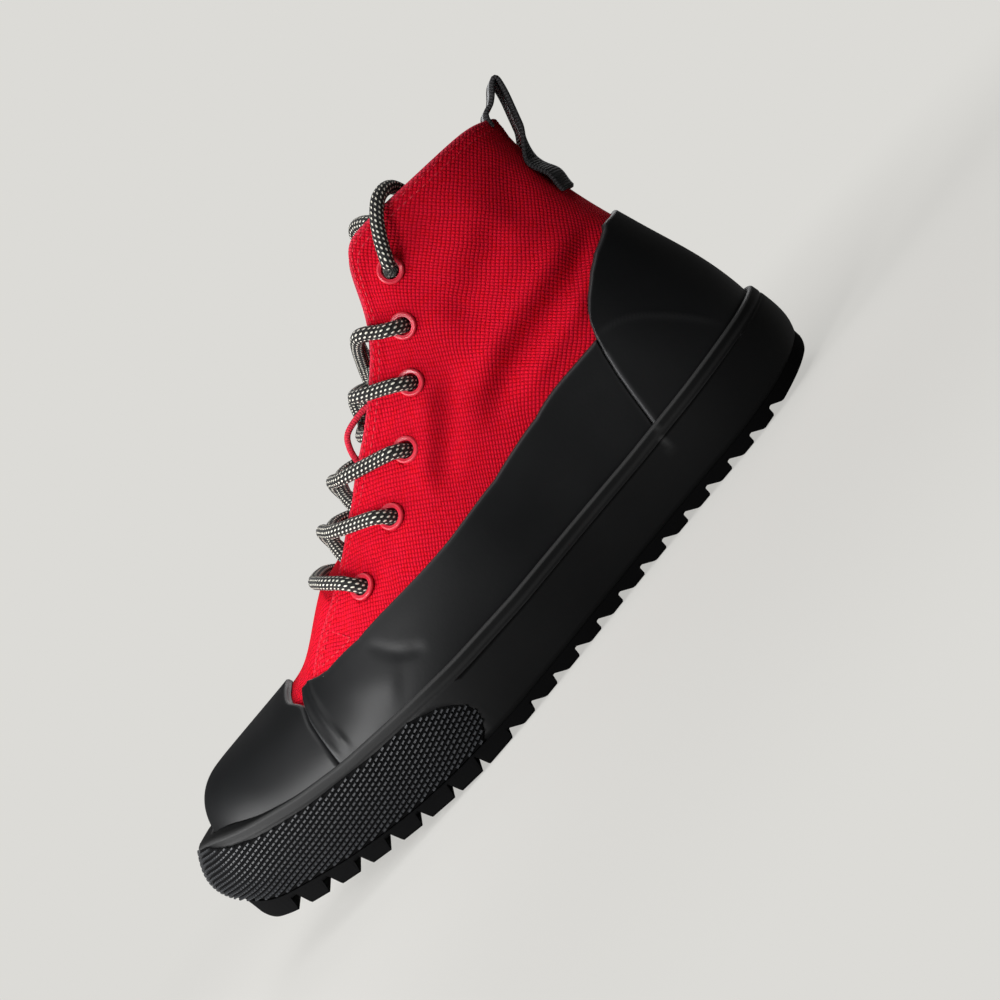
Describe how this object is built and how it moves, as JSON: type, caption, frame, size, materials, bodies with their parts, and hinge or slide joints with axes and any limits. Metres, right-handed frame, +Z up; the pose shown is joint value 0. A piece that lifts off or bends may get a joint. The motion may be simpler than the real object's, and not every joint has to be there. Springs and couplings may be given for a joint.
{
  "type": "canvas sneaker",
  "caption": "Ankle-high lace-up canvas sneaker for the left foot, with a lugged rubber cup sole, toe bumper, toe cap, side rands, heel counter and heel pull loop.",
  "frame": {"origin": "on the floor, under the centre of the shoe's box", "axes": "+X from toe to heel, +Y towards the inner (medial) side of the left foot, +Z up"},
  "size_m": [0.2875, 0.1071, 0.1546],
  "materials": {
    "canvas": "plain woven red cotton canvas",
    "black_rubber": "smooth satin black rubber",
    "tread_rubber": "matte textured black rubber",
    "insole_cloth": "dark cloth-covered foam",
    "eyelet_paint": "semi-gloss red",
    "lace_cord": "round braid, black with cream flecks",
    "webbing": "ribbed black webbing with a grey middle stripe"
  },
  "bodies": {
    "root": {"outsole": "tread_rubber", "midsole": "black_rubber", "toe_bumper": "tread_rubber", "insole": "insole_cloth", "upper": "canvas", "tongue": "canvas", "toe_cap": "black_rubber", "rand_lateral": "black_rubber", "rand_medial": "black_rubber", "heel_counter": "black_rubber", "eyelet_lateral_1": "eyelet_paint", "eyelet_lateral_2": "eyelet_paint", "eyelet_lateral_3": "eyelet_paint", "eyelet_lateral_4": "eyelet_paint", "eyelet_lateral_5": "eyelet_paint", "eyelet_lateral_6": "eyelet_paint", "eyelet_medial_1": "eyelet_paint", "eyelet_medial_2": "eyelet_paint", "eyelet_medial_3": "eyelet_paint", "eyelet_medial_4": "eyelet_paint", "eyelet_medial_5": "eyelet_paint", "eyelet_medial_6": "eyelet_paint", "pull_loop": "webbing", "lace_bar": "lace_cord", "lace_crossing_1": "lace_cord", "lace_crossing_2": "lace_cord", "lace_crossing_3": "lace_cord", "lace_crossing_4": "lace_cord", "lace_crossing_5": "lace_cord", "lace_end_lateral": "lace_cord", "lace_end_medial": "lace_cord"}
  },
  "joints": []
}
